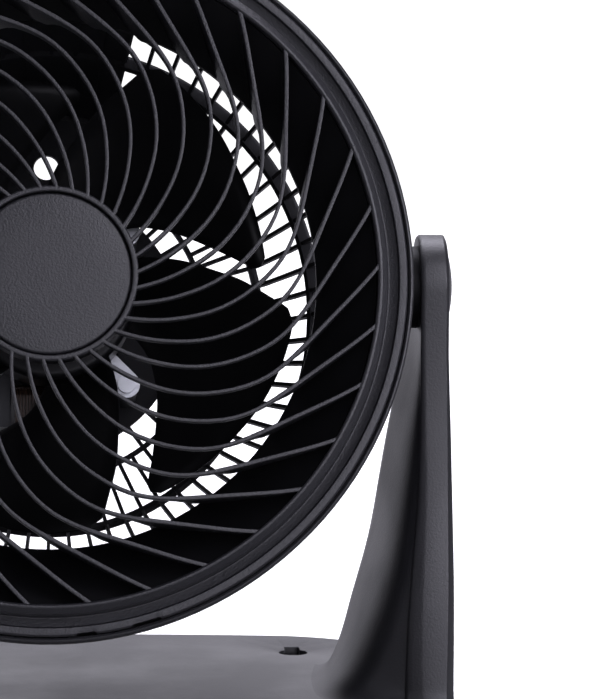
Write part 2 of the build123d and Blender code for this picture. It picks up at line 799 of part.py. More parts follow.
with BuildPart() as bracket_rear:
    with BuildSketch(face_plane(-81.0)):
        SlotOverall(44.0, 9.4)
        Circle(10.6)
        Circle(7.0, mode=Mode.SUBTRACT)
    extrude(amount=2.0)
    with BuildSketch(face_plane(-89.6)):
        Circle(9.4)
        Circle(7.0, mode=Mode.SUBTRACT)
    extrude(amount=8.8)
    with BuildSketch(face_plane(-90.8)):
        Circle(9.4)
    extrude(amount=1.2)
    with BuildSketch(face_plane(-79.1)):
        with Locations((-18.6, 0), (18.6, 0)):
            Circle(3.4)
    extrude(amount=1.1)
    with BuildSketch(face_plane(-82.0)):
        with Locations((-18.6, 0), (18.6, 0)):
            Circle(1.6)
    extrude(amount=8.0, mode=Mode.SUBTRACT)
bracket_rear.part.label = "bracket_rear"
export_step(bracket_rear.part, "parts/bracket_rear.step")

with BuildPart() as motor_core_done:
    add(motor_core.part)
    with BuildSketch(face_plane(core_back - 1)):
        with Locations((-18.6, 0), (18.6, 0)):
            Circle(1.6)
    extrude(amount=22.0, mode=Mode.SUBTRACT)
motor_core_done.part.label = "motor_core"
export_step(motor_core_done.part, "parts/motor_core.step")

with BuildPart() as bearings:
    with BuildSketch(face_plane(-56.0)):
        Circle(7.0)
        Circle(shaft_r + shaft_gap, mode=Mode.SUBTRACT)
    extrude(amount=8.8)
    with BuildSketch(face_plane(-89.5)):
        Circle(7.0)
        Circle(shaft_r + shaft_gap, mode=Mode.SUBTRACT)
    extrude(amount=8.4)
bearings.part.label = "bearings"
export_step(bearings.part, "parts/bearings.step")

with BuildPart() as motor_bolts:
    # two long bolts through the core
    with BuildSketch(face_plane(-84.0)):
        with Locations((-18.6, 0), (18.6, 0)):
            Circle(1.5)
    extrude(amount=30.0)
    with BuildSketch(face_plane(-54.85)):
        with Locations((-18.6, 0), (18.6, 0)):
            Circle(2.9)
    extrude(amount=2.0)
    with BuildSketch(face_plane(-83.4)):
        with Locations((-18.6, 0), (18.6, 0)):
            RegularPolygon(radius=3.1, side_count=6)
    extrude(amount=2.3)
motor_bolts.part.label = "motor_bolts"
export_step(motor_bolts.part, "parts/motor_bolts.step")

with BuildPart() as mount_screws:
    # four screws through the ears into the posts
    with BuildSketch(face_plane(-68.0)):
        with Locations(*ears):
            Circle(1.45)
    extrude(amount=13.2)
    with BuildSketch(face_plane(-54.85)):
        with Locations(*ears):
            Circle(3.2)
    extrude(amount=2.2)
mount_screws.part.label = "mount_screws"
export_step(mount_screws.part, "parts/mount_screws.step")

with BuildPart() as motor_leads:
    lead_route = [
        (-8.0, -27.0, -86.0), (-20.0, -16.0, -91.0), (-21.5, -4.0, -93.0), (-14.0, 9.0, -92.4),
    ]
    lead_pts = [
        pivot + Vector(1, 0, 0) * x + upward * y + forward * w for x, y, w in lead_route
    ]
    with BuildLine() as lead_line:
        FilletPolyline(*lead_pts, radius=4.0)
    with BuildSketch(Plane(origin=lead_line.line @ 0, z_dir=lead_line.line % 0)):
        Circle(1.1)
    sweep()
motor_leads.part.label = "motor_leads"
export_step(motor_leads.part, "parts/motor_leads.step")

# ================================================================ PROPELLER
with BuildPart() as motor_shaft:
    with BuildSketch(face_plane(-89.3)):
        Circle(shaft_r)
    extrude(amount=89.3 - 10.0)
    chamfer(motor_shaft.edges(), length=0.4)
motor_shaft.part.label = "motor_shaft"
export_step(motor_shaft.part, "parts/motor_shaft.step")

with BuildPart() as rotor:
    with BuildSketch(face_plane(core_back + 0.5)):
        Circle(15.4)
        Circle(shaft_r, mode=Mode.SUBTRACT)
    extrude(amount=core_front - core_back - 1.0)
rotor.part.label = "rotor"
export_step(rotor.part, "parts/rotor.step")


def table(points, r):
    for (r0, v0), (r1, v1) in zip(points, points[1:]):
        if r <= r1:
            return v0 + (v1 - v0) * (r - r0) / (r1 - r0)
    return points[-1][1]


# edges of a blade: angle (seen from the front) and w, by radius
trail_angle = [(28, 98.5), (33.2, 94.1), (40.8, 88.3), (47.4, 83.9), (55.8, 78.5),
               (64.4, 74.4), (72.9, 70.0), (83.5, 65.8)]
lead_angle = [(28, 52.0), (36, 46.2), (42.6, 39.6), (46.4, 34.9), (50.6, 30.1), (54, 26.0),
              (57.2, 22.5), (62, 17.9), (66.5, 14.3), (70, 11.6), (73, 10.0), (77.5, 9.2),
              (83.5, 8.5)]
trail_w = [(28, -20.0), (45, -8.0), (60, -1.0), (83.5, 5.0)]
lead_w = [(28, -41.0), (50, -43.5), (70, -42.0), (83.5, -37.0)]


# the tip's radius, from the leading corner to the trailing corner
tip_r = [(0, 77.5), (0.12, 78.2), (0.25, 79.0), (0.35, 79.8), (0.45, 80.5), (0.55, 81.5),
         (0.65, 82.4), (0.77, 83.1), (0.88, 83.5), (1, 83.4)]


def blade_point(s, u):
    """s runs from the hub to the tip, u from the deep, leading edge to the trailing edge."""
    r = 28.2 + (table(tip_r, u) * blade_tip_r / 83.5 - 28.2) * s
    a = table(lead_angle, r) + (table(trail_angle, r) - table(lead_angle, r)) * u
    sag = 4.0 * u * (1 - u) * (4.0 + 6.0 * (r - 28.2) / 55.0)
    w = table(lead_w, r) + (table(trail_w, r) - table(lead_w, r)) * u - sag
    x, y = polar(r, a)
    return pivot + Vector(1, 0, 0) * x + upward * y + forward * w


rows = [i / 9 for i in range(10)]
cols = [j / 8 for j in range(9)]
blade_face = Face.make_surface_from_array_of_points(
    [[blade_point(r, u) for u in cols] for r in rows]
)
with BuildPart() as one_blade:
    thicken(blade_face, amount=blade_t / 2, both=True)

with BuildPart() as propeller:
    with BuildSketch(profile_plane()):
        with BuildLine():
            Polyline(
                (shaft_r, -44.0), (6.5, -44.0), (6.5, -20.3), (27.3, -20.3), (27.3, -42.0),
                (prop_hub_r, -42.0), (prop_hub_r, -20.8),
            )
            ThreePointArc((prop_hub_r, -20.8), (28.6, -18.7), (26.5, -17.8))
            Polyline((26.5, -17.8), (shaft_r, -17.8), (shaft_r, -44.0))
        make_face()
    revolve(axis=fan_axis)
    for k in range(blade_count):
        add(one_blade.part.rotate(fan_axis, 360.0 / blade_count * k))
    # the blade roots stop inside the hub's wall
    with BuildSketch(profile_plane()):
        with BuildLine():
            Polyline((6.6, -60), (27.3, -60), (27.3, -20.31), (6.6, -20.31), close=True)
        make_face()
    revolve(axis=fan_axis, mode=Mode.SUBTRACT)
propeller.part.label = "propeller"
export_step(propeller.part, "parts/propeller.step")

with BuildPart() as propeller_nut:
    with BuildSketch(face_plane(-17.7)):
        RegularPolygon(radius=6.2, side_count=6)
        Circle(shaft_r, mode=Mode.SUBTRACT)
    extrude(amount=4.6)
propeller_nut.part.label = "propeller_nut"
export_step(propeller_nut.part, "parts/propeller_nut.step")
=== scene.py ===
import bmesh
import bpy
import json
import math
from mathutils import Matrix, Vector


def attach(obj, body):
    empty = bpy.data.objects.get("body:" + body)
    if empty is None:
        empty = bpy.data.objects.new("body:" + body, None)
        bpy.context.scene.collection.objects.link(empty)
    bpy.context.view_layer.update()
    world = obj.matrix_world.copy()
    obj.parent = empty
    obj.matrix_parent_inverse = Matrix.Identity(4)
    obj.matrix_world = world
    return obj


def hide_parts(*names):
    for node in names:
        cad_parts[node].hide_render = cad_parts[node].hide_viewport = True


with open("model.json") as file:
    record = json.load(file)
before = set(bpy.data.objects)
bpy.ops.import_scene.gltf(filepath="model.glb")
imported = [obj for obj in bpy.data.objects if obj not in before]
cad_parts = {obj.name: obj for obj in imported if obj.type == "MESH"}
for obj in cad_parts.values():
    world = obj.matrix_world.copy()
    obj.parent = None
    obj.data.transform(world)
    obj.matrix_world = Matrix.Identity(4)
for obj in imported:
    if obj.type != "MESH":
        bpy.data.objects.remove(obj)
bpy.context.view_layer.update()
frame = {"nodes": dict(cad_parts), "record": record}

# ------------------------------------------------------------------ measures
TILT = math.radians(13.5)
PIVOT_Y, PIVOT_Z = -18.5, 150.0
ST, CT = math.sin(TILT), math.cos(TILT)
FORWARD = Vector((0, -CT, ST))
UPWARD = Vector((0, ST, CT))
PIVOT = Vector((0, PIVOT_Y, PIVOT_Z))


def head(x, y, w):
    """A point of the head: x right, y up its face, w forward from the tilt axis."""
    return (PIVOT + Vector((x, 0, 0)) + UPWARD * y + FORWARD * w) * 0.001


# ----------------------------------------------------------------- materials
def new_material(name):
    mat = bpy.data.materials.new(name)
    mat.use_nodes = True
    nodes, links = mat.node_tree.nodes, mat.node_tree.links
    bsdf = nodes["Principled BSDF"]
    coord = nodes.new("ShaderNodeTexCoord")
    return mat, nodes, links, bsdf, coord


def noise(nodes, links, coord, scale, detail=3.0, rough=0.55):
    n = nodes.new("ShaderNodeTexNoise")
    n.inputs["Scale"].default_value = scale
    n.inputs["Detail"].default_value = detail
    n.inputs["Roughness"].default_value = rough
    links.new(coord.outputs["Object"], n.inputs["Vector"])
    return n


def spread(nodes, links, source, low, high, lo=0.35, hi=0.65):
    m = nodes.new("ShaderNodeMapRange")
    m.inputs["From Min"].default_value = lo
    m.inputs["From Max"].default_value = hi
    m.inputs["To Min"].default_value = low
    m.inputs["To Max"].default_value = high
    links.new(source, m.inputs["Value"])
    return m


def moulded(name, color, rough, grain=1500.0, bump=0.25, depth=0.00006, vary=0.10, spec=0.5):
    """Moulded plastic with a fine spark-eroded grain."""
    mat, nodes, links, bsdf, coord = new_material(name)
    big = noise(nodes, links, coord, 22.0, 4.0)
    fine = noise(nodes, links, coord, grain, 2.0, 0.6)
    ramp = nodes.new("ShaderNodeValToRGB")
    ramp.color_ramp.elements[0].position = 0.30
    ramp.color_ramp.elements[1].position = 0.70
    ramp.color_ramp.elements[0].color = [c * (1 - vary) for c in color] + [1]
    ramp.color_ramp.elements[1].color = [c * (1 + vary) for c in color] + [1]
    mix = nodes.new("ShaderNodeMath")
    mix.operation = "ADD"
    half = nodes.new("ShaderNodeMath")
    half.operation = "MULTIPLY"
    half.inputs[1].default_value = 0.55
    links.new(fine.outputs["Fac"], half.inputs[0])
    part = nodes.new("ShaderNodeMath")
    part.operation = "MULTIPLY"
    part.inputs[1].default_value = 0.45
    links.new(big.outputs["Fac"], part.inputs[0])
    links.new(half.outputs[0], mix.inputs[0])
    links.new(part.outputs[0], mix.inputs[1])
    links.new(mix.outputs[0], ramp.inputs["Fac"])
    links.new(ramp.outputs["Color"], bsdf.inputs["Base Color"])
    r = spread(nodes, links, big.outputs["Fac"], rough - 0.04, rough + 0.05)
    links.new(r.outputs["Result"], bsdf.inputs["Roughness"])
    b = nodes.new("ShaderNodeBump")
    b.inputs["Strength"].default_value = bump
    b.inputs["Distance"].default_value = depth
    links.new(fine.outputs["Fac"], b.inputs["Height"])
    links.new(b.outputs["Normal"], bsdf.inputs["Normal"])
    bsdf.inputs["Specular IOR Level"].default_value = spec
    return mat


def metal(name, color, rough, scratch=0.10, scale=(60.0, 60.0, 900.0)):
    """Metal with fine drawn lines and slight staining."""
    mat, nodes, links, bsdf, coord = new_material(name)
    stretch = nodes.new("ShaderNodeMapping")
    stretch.inputs["Scale"].default_value = scale
    stretch.inputs["Rotation"].default_value = (TILT, 0, 0)
    links.new(coord.outputs["Object"], stretch.inputs["Vector"])
    lines = nodes.new("ShaderNodeTexNoise")
    lines.inputs["Scale"].default_value = 4.0
    lines.inputs["Detail"].default_value = 3.0
    links.new(stretch.outputs["Vector"], lines.inputs["Vector"])
    stain = noise(nodes, links, coord, 90.0, 4.0)
    ramp = nodes.new("ShaderNodeValToRGB")
    ramp.color_ramp.elements[0].position = 0.35
    ramp.color_ramp.elements[1].position = 0.65
    ramp.color_ramp.elements[0].color = [c * 0.86 for c in color] + [1]
    ramp.color_ramp.elements[1].color = list(color) + [1]
    links.new(stain.outputs["Fac"], ramp.inputs["Fac"])
    links.new(ramp.outputs["Color"], bsdf.inputs["Base Color"])
    bsdf.inputs["Metallic"].default_value = 1.0
    r = spread(nodes, links, lines.outputs["Fac"], rough - 0.06, rough + 0.10)
    links.new(r.outputs["Result"], bsdf.inputs["Roughness"])
    b = nodes.new("ShaderNodeBump")
    b.inputs["Strength"].default_value = scratch
    b.inputs["Distance"].default_value = 0.00005
    links.new(lines.outputs["Fac"], b.inputs["Height"])
    links.new(b.outputs["Normal"], bsdf.inputs["Normal"])
    return mat


def banded(name, color, dark, rough, metallic, period, direction):
    """Thin layers, such as stacked sheets or turns of wire, along one axis."""
    mat, nodes, links, bsdf, coord = new_material(name)
    turn = nodes.new("ShaderNodeMapping")
    turn.inputs["Rotation"].default_value = (TILT, 0, 0)
    links.new(coord.outputs["Object"], turn.inputs["Vector"])
    wave = nodes.new("ShaderNodeTexWave")
    wave.wave_type = "BANDS"
    wave.bands_direction = direction
    wave.inputs["Scale"].default_value = 0.314 / period
    wave.inputs["Distortion"].default_value = 0.6
    wave.inputs["Detail"].default_value = 1.0
    links.new(turn.outputs["Vector"], wave.inputs["Vector"])
    stain = noise(nodes, links, coord, 140.0, 4.0)
    ramp = nodes.new("ShaderNodeValToRGB")
    ramp.color_ramp.elements[0].color = list(dark) + [1]
    ramp.color_ramp.elements[1].color = list(color) + [1]
    mix = nodes.new("ShaderNodeMath")
    mix.operation = "MULTIPLY_ADD"
    mix.inputs[1].default_value = 0.6
    links.new(wave.outputs["Fac"], mix.inputs[0])
    part = spread(nodes, links, stain.outputs["Fac"], 0.0, 0.4)
    links.new(part.outputs["Result"], mix.inputs[2])
    links.new(mix.outputs[0], ramp.inputs["Fac"])
    links.new(ramp.outputs["Color"], bsdf.inputs["Base Color"])
    bsdf.inputs["Metallic"].default_value = metallic
    r = spread(nodes, links, stain.outputs["Fac"], rough - 0.05, rough + 0.10)
    links.new(r.outputs["Result"], bsdf.inputs["Roughness"])
    b = nodes.new("ShaderNodeBump")
    b.inputs["Strength"].default_value = 0.35
    b.inputs["Distance"].default_value = 0.0001
    links.new(wave.outputs["Fac"], b.inputs["Height"])
    links.new(b.outputs["Normal"], bsdf.inputs["Normal"])
    return mat


M = {
    "stand_plastic": moulded("stand_plastic_mat", (0.009, 0.009, 0.0108), 0.42, 1300.0, 0.75, depth=0.00012),
    "housing_plastic": moulded("housing_plastic_mat", (0.011, 0.011, 0.013), 0.44, 1500.0, 0.65, depth=0.00011),
    "grille_plastic": moulded("grille_plastic_mat", (0.010, 0.010, 0.0122), 0.40, 1300.0, 0.95, depth=0.00018),
    # rear, black and propeller plastic are the same black plastic as the housing, made darker and less
    # reflective: painted shade for the parts in shadow in and behind the head
    "rear_plastic": moulded("rear_plastic_painted_shade_mat", (0.008, 0.008, 0.010), 0.55, 1500.0, 0.22, spec=0.3),
    "black_plastic": moulded("black_plastic_painted_shade_mat", (0.0025, 0.0025, 0.003), 0.50, 1600.0, 0.20, spec=0.14),
    "propeller_plastic": moulded("propeller_plastic_painted_shade_mat", (0.0035, 0.0035, 0.004), 0.34, 1800.0, 0.08, spec=0.22),
    "knob_plastic": moulded("knob_plastic_mat", (0.016, 0.016, 0.018), 0.42, 1600.0, 0.15),
    "bobbin_plastic": moulded("bobbin_plastic_mat", (0.020, 0.020, 0.021), 0.40, 1400.0, 0.12),
    "rubber": moulded("rubber_mat", (0.014, 0.014, 0.014), 0.72, 1100.0, 0.35),
    "lead_sleeve": moulded("lead_sleeve_mat", (0.020, 0.020, 0.021), 0.55, 1200.0, 0.20),
    "steel": metal("steel_mat", (0.45, 0.46, 0.48), 0.36),
    "brass": metal("brass_mat", (0.62, 0.44, 0.18), 0.32),
    "bronze": metal("bronze_mat", (0.44, 0.28, 0.13), 0.40),
    "core_steel": banded("core_steel_mat", (0.055, 0.056, 0.060), (0.020, 0.020, 0.022), 0.36, 0.7, 0.0009, "Y"),
    "copper": banded("copper_mat", (0.040, 0.022, 0.014), (0.012, 0.008, 0.006), 0.20, 0.4, 0.0011, "X"),
}

SLOTS = {row["node"]: row["material_slot"] for row in frame["record"]["subparts"]}
for node, obj in frame["nodes"].items():
    mesh = obj.data
    mesh.materials.clear()
    mesh.materials.append(M[SLOTS[node]])
    mesh.shade_smooth()
    mesh.set_sharp_from_angle(angle=math.radians(28))

# --------------------------------------------------------------------- meshes
def add_mesh(name, verts, faces, body, slot, angle=35.0, nodes=()):
    """A piece in metres that rides on a body and wears its slot's material."""
    mesh = bpy.data.meshes.new(name)
    bm = bmesh.new()
    made = [bm.verts.new(v) for v in verts]
    for f in faces:
        bm.faces.new([made[i] for i in f])
    bmesh.ops.remove_doubles(bm, verts=bm.verts, dist=1e-7)
    bmesh.ops.recalc_face_normals(bm, faces=bm.faces)
    bm.to_mesh(mesh)
    bm.free()
    mesh.shade_smooth()
    mesh.set_sharp_from_angle(angle=math.radians(angle))
    mesh.materials.append(M[slot])
    obj = bpy.data.objects.new(name, mesh)
    bpy.context.scene.collection.objects.link(obj)
    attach(obj, body)
    if nodes:
        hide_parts(*nodes)
    return obj


def rounded(points, radii, steps=4):
    """A closed outline with its corners turned into arcs."""
    out = []
    n = len(points)
    for i in range(n):
        p, r = Vector(points[i]), radii[i] if isinstance(radii, (list, tuple)) else radii
        a = Vector(points[i - 1]) - p
        b = Vector(points[(i + 1) % n]) - p
        if r <= 0 or a.length < 1e-9 or b.length < 1e-9:
            out.append(tuple(p))
            continue
        ua, ub = a.normalized(), b.normalized()
        turn = ua.angle(ub)
        if turn > math.radians(176):
            out.append(tuple(p))
            continue
        reach = min(r / math.tan(turn / 2), a.length * 0.45, b.length * 0.45)
        rr = reach * math.tan(turn / 2)
        centre = p + (ua + ub).normalized() * (rr / math.sin(turn / 2))
        start, end = p + ua * reach - centre, p + ub * reach - centre
        whole = start.angle(end)
        for k in range(steps + 1):
            t = k / steps
            d = (start * math.sin((1 - t) * whole) + end * math.sin(t * whole)) / math.sin(whole)
            out.append(tuple(centre + d))
    return out


def revolved(profile, seg, closed=True, dent=None):
    """Ring about the fan's axis from a profile of (r, w) in mm."""
    verts, faces = [], []
    n = len(profile)
    for k in range(seg):
        deg = 360.0 * k / seg
        a = math.radians(deg)
        for r, w in profile:
            if dent:
                r, w = dent(r, w, deg)
            verts.append(head(r * math.cos(a), r * math.sin(a), w))
    last = n if closed else n - 1
    for k in range(seg):
        for i in range(last):
            j = (i + 1) % n
            p, q = k * n, ((k + 1) % seg) * n
            faces.append((p + i, p + j, q + j, q + i))
    return verts, faces


def join(parts):
    verts, faces = [], []
    for v, f in parts:
        base = len(verts)
        verts += v
        faces += [tuple(base + i for i in q) for q in f]
    return verts, faces


def spline(points):
    """Natural cubic through (x, y) points with rising x, as a function."""
    n = len(points)
    xs, ys = [p[0] for p in points], [p[1] for p in points]
    h = [xs[i + 1] - xs[i] for i in range(n - 1)]
    m, c = [0.0] * n, [0.0] * n
    d = [0.0] * n
    for i in range(1, n - 1):
        k = 2 * (h[i - 1] + h[i]) - h[i - 1] * c[i - 1]
        c[i] = h[i] / k
        rhs = 6 * ((ys[i + 1] - ys[i]) / h[i] - (ys[i] - ys[i - 1]) / h[i - 1])
        d[i] = (rhs - h[i - 1] * d[i - 1]) / k
    for i in range(n - 2, 0, -1):
        m[i] = d[i] - c[i] * m[i + 1]

    def value(x):
        i = 0
        while i < n - 2 and x > xs[i + 1]:
            i += 1
        a, b = (xs[i + 1] - x) / h[i], (x - xs[i]) / h[i]
        return (
            a * ys[i] + b * ys[i + 1]
            + ((a**3 - a) * m[i] + (b**3 - b) * m[i + 1]) * h[i] ** 2 / 6
        )

    return value


def straight(points):
    def value(x):
        for (x0, y0), (x1, y1) in zip(points, points[1:]):
            if x <= x1:
                return y0 + (y1 - y0) * (x - x0) / (x1 - x0)
        return points[-1][1]

    return value


# --------------------------------------------------------------- front grille
RIBS = 34
rib_angle = spline([
    (28.4, -65.0), (33.0, -61.5), (38.9, -57.4), (46.6, -52.3), (54.4, -47.4), (63.4, -41.1),
    (72.8, -33.7), (80.0, -27.1), (86.0, -19.9), (91.7, -13.5), (96.8, -9.0), (103.0, -4.6),
    (110.3, 0.0),
])
rib_back = straight([
    (28.0, 29.6), (40.0, 29.3), (60.0, 28.8), (72.0, 28.45), (81.0, 27.9), (83.6, 26.9),
    (85.6, 25.2), (86.7, 22.2), (87.4, 19.0), (87.9, 16.2), (88.6, 14.0), (91.2, 12.65),
    (109.4, 26.2), (110.6, 26.6),
])


def dome(r):
    return 34.2 - 0.000292 * r * r


def front_rib(k):
    radii = [28.4, 30.5, 33.5, 37, 40.5, 44, 47.5, 51, 54.5, 58, 61.5, 65, 68.5, 72, 75, 77.5,
             79.5, 81, 82.4, 83.6, 84.6, 85.6, 86.2, 86.7, 87.1, 87.5, 87.9, 88.3, 88.8, 90.0,
             91.2, 93.0, 95.0, 97.5, 100, 102.5, 105, 107.5, 109.4, 110.3]
    verts, faces = [], []
    rows = []
    for r in radii:
        half = 0.62 if r < 86 else 0.70
        a = math.radians(rib_angle(r) + 1.9 + 360.0 / RIBS * k)
        e = 0.3
        a1 = math.radians(rib_angle(r + e) + 1.9 + 360.0 / RIBS * k)
        x, y = r * math.cos(a), r * math.sin(a)
        tx, ty = (r + e) * math.cos(a1) - x, (r + e) * math.sin(a1) - y
        m = math.hypot(tx, ty)
        nx, ny = -ty / m, tx / m
        wf, wb = dome(r), rib_back(r)
        section = [(-half + 0.2, wb), (-half, wb + 0.2), (-half, wf - 0.30)]
        for i in range(1, 4):
            t = math.radians(90 * i / 4)
            section.append((-half + 0.3 * (1 - math.cos(t)), wf - 0.3 + 0.3 * math.sin(t)))
        section += [(-half + 0.3, wf), (0.0, wf + 0.02), (half - 0.3, wf)]
        for i in range(1, 4):
            t = math.radians(90 - 90 * i / 4)
            section.append((half - 0.3 * (1 - math.cos(t)), wf - 0.3 + 0.3 * math.sin(t)))
        section += [(half, wf - 0.30), (half, wb + 0.2), (half - 0.2, wb)]
        rows.append(len(verts))
        for off, w in section:
            verts.append(head(x + nx * off, y + ny * off, w))
    n = len(section)
    for a, b in zip(rows, rows[1:]):
        for i in range(n):
            j = (i + 1) % n
            faces.append((a + i, a + j, b + j, b + i))
    faces.append(tuple(rows[0] + i for i in range(n))[::-1])
    faces.append(tuple(rows[-1] + i for i in range(n)))
    return verts, faces


def lip_slots(r, w, deg):
    # two short windows in the groove outside the bezel, near the bottom
    for mid, half in ((275.8, 1.35), (285.3, 2.25)):
        if abs(deg - mid) <= half and r > 119.0 and w > 24.5:
            return 119.0, w - 0.3
    return r, w


bezel = rounded(
    [(109.4, 30.6), (110.0, 31.3), (110.8, 31.1), (112.8, 28.9), (113.3, 23.3),
     (116.7, 24.5), (117.0, 25.9), (119.3, 25.75), (119.9, 25.0), (119.9, 18.1), (117.5, 18.1),
     (117.5, 22.1), (111.7, 22.3), (109.4, 26.0)],
    [0.4, 0.5, 0.5, 1.2, 0.5, 0.4, 0.35, 0.5, 0.4, 0.2, 0.2, 0.3, 0.3, 0.4],
)
hub_ring = rounded(
    [(0.02, 24.0), (29.0, 24.0), (29.4, 24.6), (29.4, 33.4), (28.9, 34.0), (27.8, 34.0),
     (27.5, 33.7), (27.5, 26.4), (0.02, 26.4)],
    [0, 0.2, 0.3, 0.5, 0.5, 0.3, 0.2, 0.3, 0],
)
grille_parts = [revolved(bezel, 720, dent=lip_slots), revolved(hub_ring, 120)]
grille_parts += [front_rib(k) for k in range(RIBS)]
add_mesh("front_grille_shell", *join(grille_parts), "head", "grille_plastic", 38.0,
         ["front_grille"])

cap = rounded(
    [(0.02, 30.0), (25.3, 30.0), (25.3, 26.6), (27.1, 26.6), (27.1, 32.75), (14.0, 33.1),
     (0.02, 33.2)],
    [0, 0.2, 0.2, 0.2, 1.1, 8.0, 0], 6,
)
prongs = []
for k in range(4):
    a = math.radians(45 + 90 * k)
    cx, cy = 17 * math.cos(a), 17 * math.sin(a)
    ring = [(cx + 2.4 * math.cos(t * math.pi / 12), cy + 2.4 * math.sin(t * math.pi / 12))
            for t in range(24)]
    v = [head(x, y, 30.4) for x, y in ring] + [head(x, y, 22.0) for x, y in ring]
    f = [(i, (i + 1) % 24, 24 + (i + 1) % 24, 24 + i) for i in range(24)]
    f += [tuple(range(24)), tuple(range(47, 23, -1))]
    prongs.append((v, f))
add_mesh("hub_cap_shell", *join([revolved(cap, 144)] + prongs), "head", "grille_plastic", 30.0,
         ["hub_cap"])

# ------------------------------------------------------------------ propeller
trail_angle = spline([(28, 98.5), (33.2, 94.1), (40.8, 88.3), (47.4, 83.9), (55.8, 78.5),
                      (64.4, 74.4), (72.9, 70.0), (83.5, 65.8)])
lead_angle = spline([(28, 52.0), (36, 46.2), (42.6, 39.6), (46.4, 34.9), (50.6, 30.1), (54, 26.0),
                     (57.2, 22.5), (62, 17.9), (66.5, 14.3), (70, 11.6), (73, 10.0), (77.5, 9.2),
                     (83.5, 8.5)])
tip_r = spline([(0, 77.5), (0.12, 78.2), (0.25, 79.0), (0.35, 79.8), (0.45, 80.5), (0.55, 81.5),
                (0.65, 82.4), (0.77, 83.1), (0.88, 83.5), (1, 83.4)])
trail_w = spline([(28, -20.0), (45, -8.0), (60, -1.0), (83.5, 5.0)])
lead_w = spline([(28, -41.0), (50, -43.5), (70, -42.0), (83.5, -37.0)])


def blade(k):
    verts, faces = [], []
    rows, cols = 26, 24
    r0, r1 = 27.4, 83.5

    def mid(i, j):
        u = j / (cols - 1)
        end = tip_r(u)
        r = r0 + (end - r0) * i / (rows - 1)
        # the tip's two corners are rounded
        a0, a1 = lead_angle(r), trail_angle(r)
        short = max(0.0, r - (end - 4.0)) / 4.0
        cut = 1 - math.sqrt(max(0.0, 1 - short * short))
        gap = math.degrees(4.0 / r1) * cut
        a0, a1 = a0 + gap, a1 - gap
        a = math.radians(a0 + (a1 - a0) * u + 72.0 * k)
        w = lead_w(r) + (trail_w(r) - lead_w(r)) * u - 4 * u * (1 - u) * (
            4.0 + 6.0 * (r - 28.2) / 55.0)
        return Vector(head(r * math.cos(a), r * math.sin(a), w))

    grid = [[mid(i, j) for j in range(cols)] for i in range(rows)]
    normals = []
    for i in range(rows):
        row = []
        for j in range(cols):
            du = grid[i][min(j + 1, cols - 1)] - grid[i][max(j - 1, 0)]
            dr = grid[min(i + 1, rows - 1)][j] - grid[max(i - 1, 0)][j]
            row.append(dr.cross(du).normalized())
        normals.append(row)

    def thick(i, j):
        r = (r1 - r0) * (rows - 1 - i) / (rows - 1)
        c = min(j, cols - 1 - j) * 2.0
        d = min(r, c)
        return 0.0009 * math.sqrt(max(0.04, 1 - max(0.0, 1 - d / 2.2) ** 2))

    for s in (1, -1):
        for i in range(rows):
            for j in range(cols):
                verts.append(grid[i][j] + normals[i][j] * (s * thick(i, j)))
    n = rows * cols
    for i in range(rows - 1):
        for j in range(cols - 1):
            a = i * cols + j
            faces.append((a, a + 1, a + cols + 1, a + cols))
            faces.append((n + a, n + a + cols, n + a + cols + 1, n + a + 1))
    rim = [j for j in range(cols)] + [i * cols + cols - 1 for i in range(1, rows)]
    rim += [(rows - 1) * cols + j for j in range(cols - 2, -1, -1)]
    rim += [i * cols for i in range(rows - 2, 0, -1)]
    for a, b in zip(rim, rim[1:] + rim[:1]):
        faces.append((a, n + a, n + b, b))
    return verts, faces


prop_hub = rounded(
    [(3.0, -44.0), (6.5, -44.0), (6.5, -20.3), (27.3, -20.3), (27.3, -42.0), (29.5, -42.0),
     (29.5, -17.8), (3.0, -17.8)],
    [0.1, 0.3, 0.4, 1.0, 0.3, 0.3, 2.6, 0.1], 6,
)
add_mesh("propeller_shell", *join([revolved(prop_hub, 120)] + [blade(k) for k in range(5)]),
         "propeller", "propeller_plastic", 50.0, ["propeller"])

# --------------------------------------------------- speed numbers and pointer
def ribbon(points, half, w0, w1, closed=False):
    """A raised stroke along points on the back of the head, between two depths."""
    n = len(points)
    left, right = [], []
    for i, (x, y) in enumerate(points):
        ax, ay = points[i - 1] if closed or i else points[i]
        bx, by = points[(i + 1) % n] if closed or i < n - 1 else points[i]
        m = math.hypot(bx - ax, by - ay)
        nx, ny = -(by - ay) / m * half, (bx - ax) / m * half
        left.append((x + nx, y + ny))
        right.append((x - nx, y - ny))
    verts = []
    for w in (w0, w1):
        verts += [head(x, y, w) for x, y in left] + [head(x, y, w) for x, y in right]
    faces = []
    for i in range(n if closed else n - 1):
        j = (i + 1) % n
        faces += [(i, j, n + j, n + i), (2 * n + i, 3 * n + i, 3 * n + j, 2 * n + j),
                  (i, 2 * n + i, 2 * n + j, j), (n + i, n + j, 3 * n + j, 3 * n + i)]
    if not closed:
        faces += [(0, n, 3 * n, 2 * n), (n - 1, 3 * n - 1, 4 * n - 1, 2 * n - 1)]
    return verts, faces


def turned(cx, cy, rx, ry, start, end, steps):
    return [(cx + rx * math.cos(math.radians(start + (end - start) * i / steps)),
             cy + ry * math.sin(math.radians(start + (end - start) * i / steps)))
            for i in range(steps + 1)]


